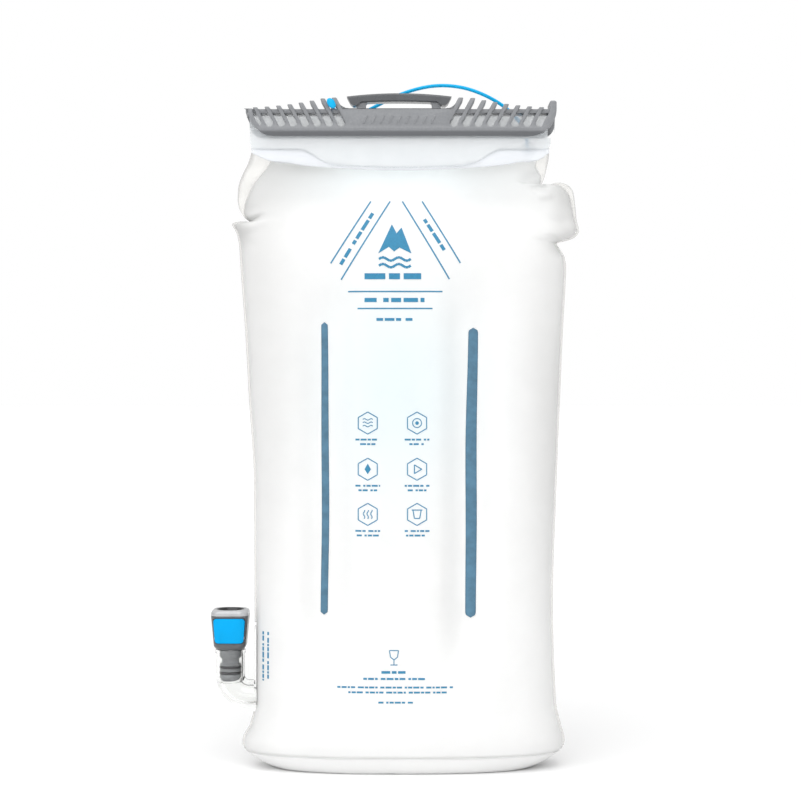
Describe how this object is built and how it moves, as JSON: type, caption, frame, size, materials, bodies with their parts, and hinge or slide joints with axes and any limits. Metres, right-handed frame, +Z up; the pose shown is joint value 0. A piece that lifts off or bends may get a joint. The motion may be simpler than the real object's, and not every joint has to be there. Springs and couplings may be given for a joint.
{
  "type": "hydration bladder",
  "caption": "Soft water reservoir that stands on a gusseted base, closed by a slide-off top rail with a carry handle, with a push-button hose coupling at one side.",
  "frame": {"origin": "middle of the flat bottom of the base gusset, on the surface that the full bladder stands on", "axes": "+Z up along the bladder, -Y towards the front panel, +X towards the closed end of the slider; the hose port is on the -X side"},
  "size_m": [0.219, 0.0686, 0.4224],
  "materials": {
    "film": "frosted translucent film",
    "seam": "clear welded seam",
    "weld_blue": "satin printed weld strip",
    "clear_rail": "clear polished moulding",
    "clear_port": "clear polished moulding",
    "slider_grey": "fine moulded texture",
    "handle_grey": "semi-gloss moulding",
    "tether_blue": "smooth satin cord",
    "coupling_grey": "satin moulding",
    "bezel_silver": "glossy moulding",
    "seal_rubber": "matt rubber",
    "button_blue": "semi-gloss moulding",
    "latch_steel": "rolled sheet",
    "spring_steel": "drawn wire",
    "valve_white": "satin moulding"
  },
  "bodies": {
    "reservoir": {"front_panel": "film", "back_panel": "film", "base_gusset": "film", "base_seam": "seam", "left_seam_upper": "seam", "left_seam_lower": "seam", "right_seam": "seam", "baffle_web_left": "film", "baffle_web_right": "film", "weld_strip_front_left": "weld_blue", "weld_strip_front_right": "weld_blue", "weld_strip_back_left": "weld_blue", "weld_strip_back_right": "weld_blue", "front_rail": "clear_rail", "back_rail": "clear_rail", "tether_anchor": "clear_rail", "elbow_port": "clear_port"},
    "slider": {"slider": "slider_grey", "carry_handle": "handle_grey", "tether_cord": "tether_blue", "tether_toggle": "tether_blue"},
    "coupling": {"coupling_head": "coupling_grey", "socket_bezel": "bezel_silver", "coupling_stem": "coupling_grey", "stem_seals": "seal_rubber", "socket_seal": "seal_rubber", "latch_springs": "spring_steel", "valve_spring": "spring_steel", "valve_retainer": "valve_white"},
    "button": {"release_button": "button_blue", "latch_plate": "latch_steel"},
    "poppet": {"valve_poppet": "valve_white", "poppet_seal": "seal_rubber"}
  },
  "joints": [
    {"name": "slider_slide", "type": "slide", "parent": "reservoir", "child": "slider", "axis": [1, 0, 0], "range_m": [0, 0.19], "deforming": ["tether_cord"]},
    {"name": "coupling_swivel", "type": "hinge", "parent": "reservoir", "child": "coupling", "pos_m": [-0.1047, 0, 0.06], "axis": [0, 0, 1], "continuous": true},
    {"name": "button_press", "type": "slide", "parent": "coupling", "child": "button", "axis": [0, 1, 0], "range_m": [0, 0.0016], "stiffness_N_per_m": 600, "springref_m": -0.001, "deforming": ["latch_springs"]},
    {"name": "poppet_lift", "type": "slide", "parent": "coupling", "child": "poppet", "axis": [0, 0, -1], "range_m": [0, 0.003], "stiffness_N_per_m": 200, "springref_m": -0.002, "deforming": ["valve_spring"]}
  ]
}
